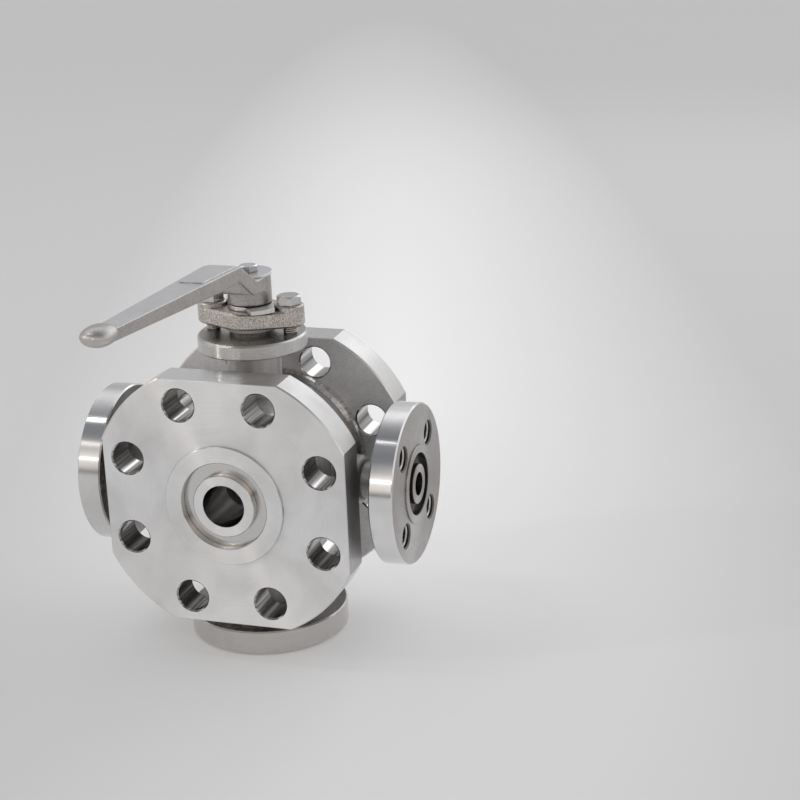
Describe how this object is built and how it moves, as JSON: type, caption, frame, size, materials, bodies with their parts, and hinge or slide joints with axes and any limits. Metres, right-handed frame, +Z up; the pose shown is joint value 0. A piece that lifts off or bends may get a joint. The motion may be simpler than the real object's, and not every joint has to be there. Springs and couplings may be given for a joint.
{
  "type": "jacketed ball valve",
  "caption": "Lever-operated ball valve with oversize bolted end flanges, a heating jacket round its body and flanged jacket ports.",
  "frame": {"origin": "centre of the bottom jacket port's face, on which the valve stands", "axes": "+Z up along the stem, flow along Y with the open lever pointing to -Y, the side jacket ports on +X and -X"},
  "size_m": [0.197, 0.2552, 0.2433],
  "materials": {
    "turned_steel": "turned and milled stainless steel, satin",
    "cast_steel": "shot-blasted stainless casting",
    "bore_steel": "fine-turned stainless steel",
    "port_steel": "bright turned stainless steel",
    "polished_steel": "polished stainless steel",
    "stem_steel": "ground stainless bar",
    "filled_ptfe": "carbon-filled seat plastic",
    "white_ptfe": "plain white seal plastic",
    "black_rubber": "smooth black rubber",
    "graphite": "pressed graphite packing",
    "graphite_smeared_steel": "steel smeared with packing graphite",
    "sand_cast_steel": "rough sand-cast stainless, speckled",
    "bolt_steel": "plain stainless bolt",
    "blasted_plate": "bead-blasted stainless plate",
    "lever_casting": "investment casting, matt",
    "zinc_plate": "bright zinc plating"
  },
  "bodies": {
    "housing": {"valve_body": "turned_steel", "jacket_shell": "cast_steel", "body_insert": "bore_steel", "insert_gasket": "white_ptfe", "front_seat": "filled_ptfe", "rear_seat": "filled_ptfe", "left_port_nipple": "cast_steel", "right_port_nipple": "cast_steel", "bottom_port_nipple": "cast_steel", "left_port_flange": "port_steel", "right_port_flange": "port_steel", "bottom_port_flange": "port_steel", "stem_thrust_washer": "white_ptfe", "packing_support_ring": "stem_steel", "packing_rings": "graphite", "gland_follower": "graphite_smeared_steel", "gland_flange": "sand_cast_steel", "gland_bolts": "bolt_steel"},
    "stem_and_lever": {"stem": "stem_steel", "stem_o_ring": "black_rubber", "stop_plate": "blasted_plate", "lever": "lever_casting", "lever_washer": "zinc_plate", "lever_bolt": "zinc_plate"},
    "ball": {"ball": "polished_steel"}
  },
  "joints": [
    {"name": "lever_turn", "type": "hinge", "parent": "housing", "child": "stem_and_lever", "pos_m": [0, 0, 0.0985], "axis": [0, 0, 1], "range_deg": [-90, 0]},
    {"name": "ball_turn", "type": "hinge", "parent": "housing", "child": "ball", "pos_m": [0, 0, 0.0985], "axis": [0, 0, 1], "range_deg": [-90, 0]}
  ],
  "couplings": [
    {"joint": "ball_turn", "follows": "lever_turn", "ratio": 1}
  ]
}
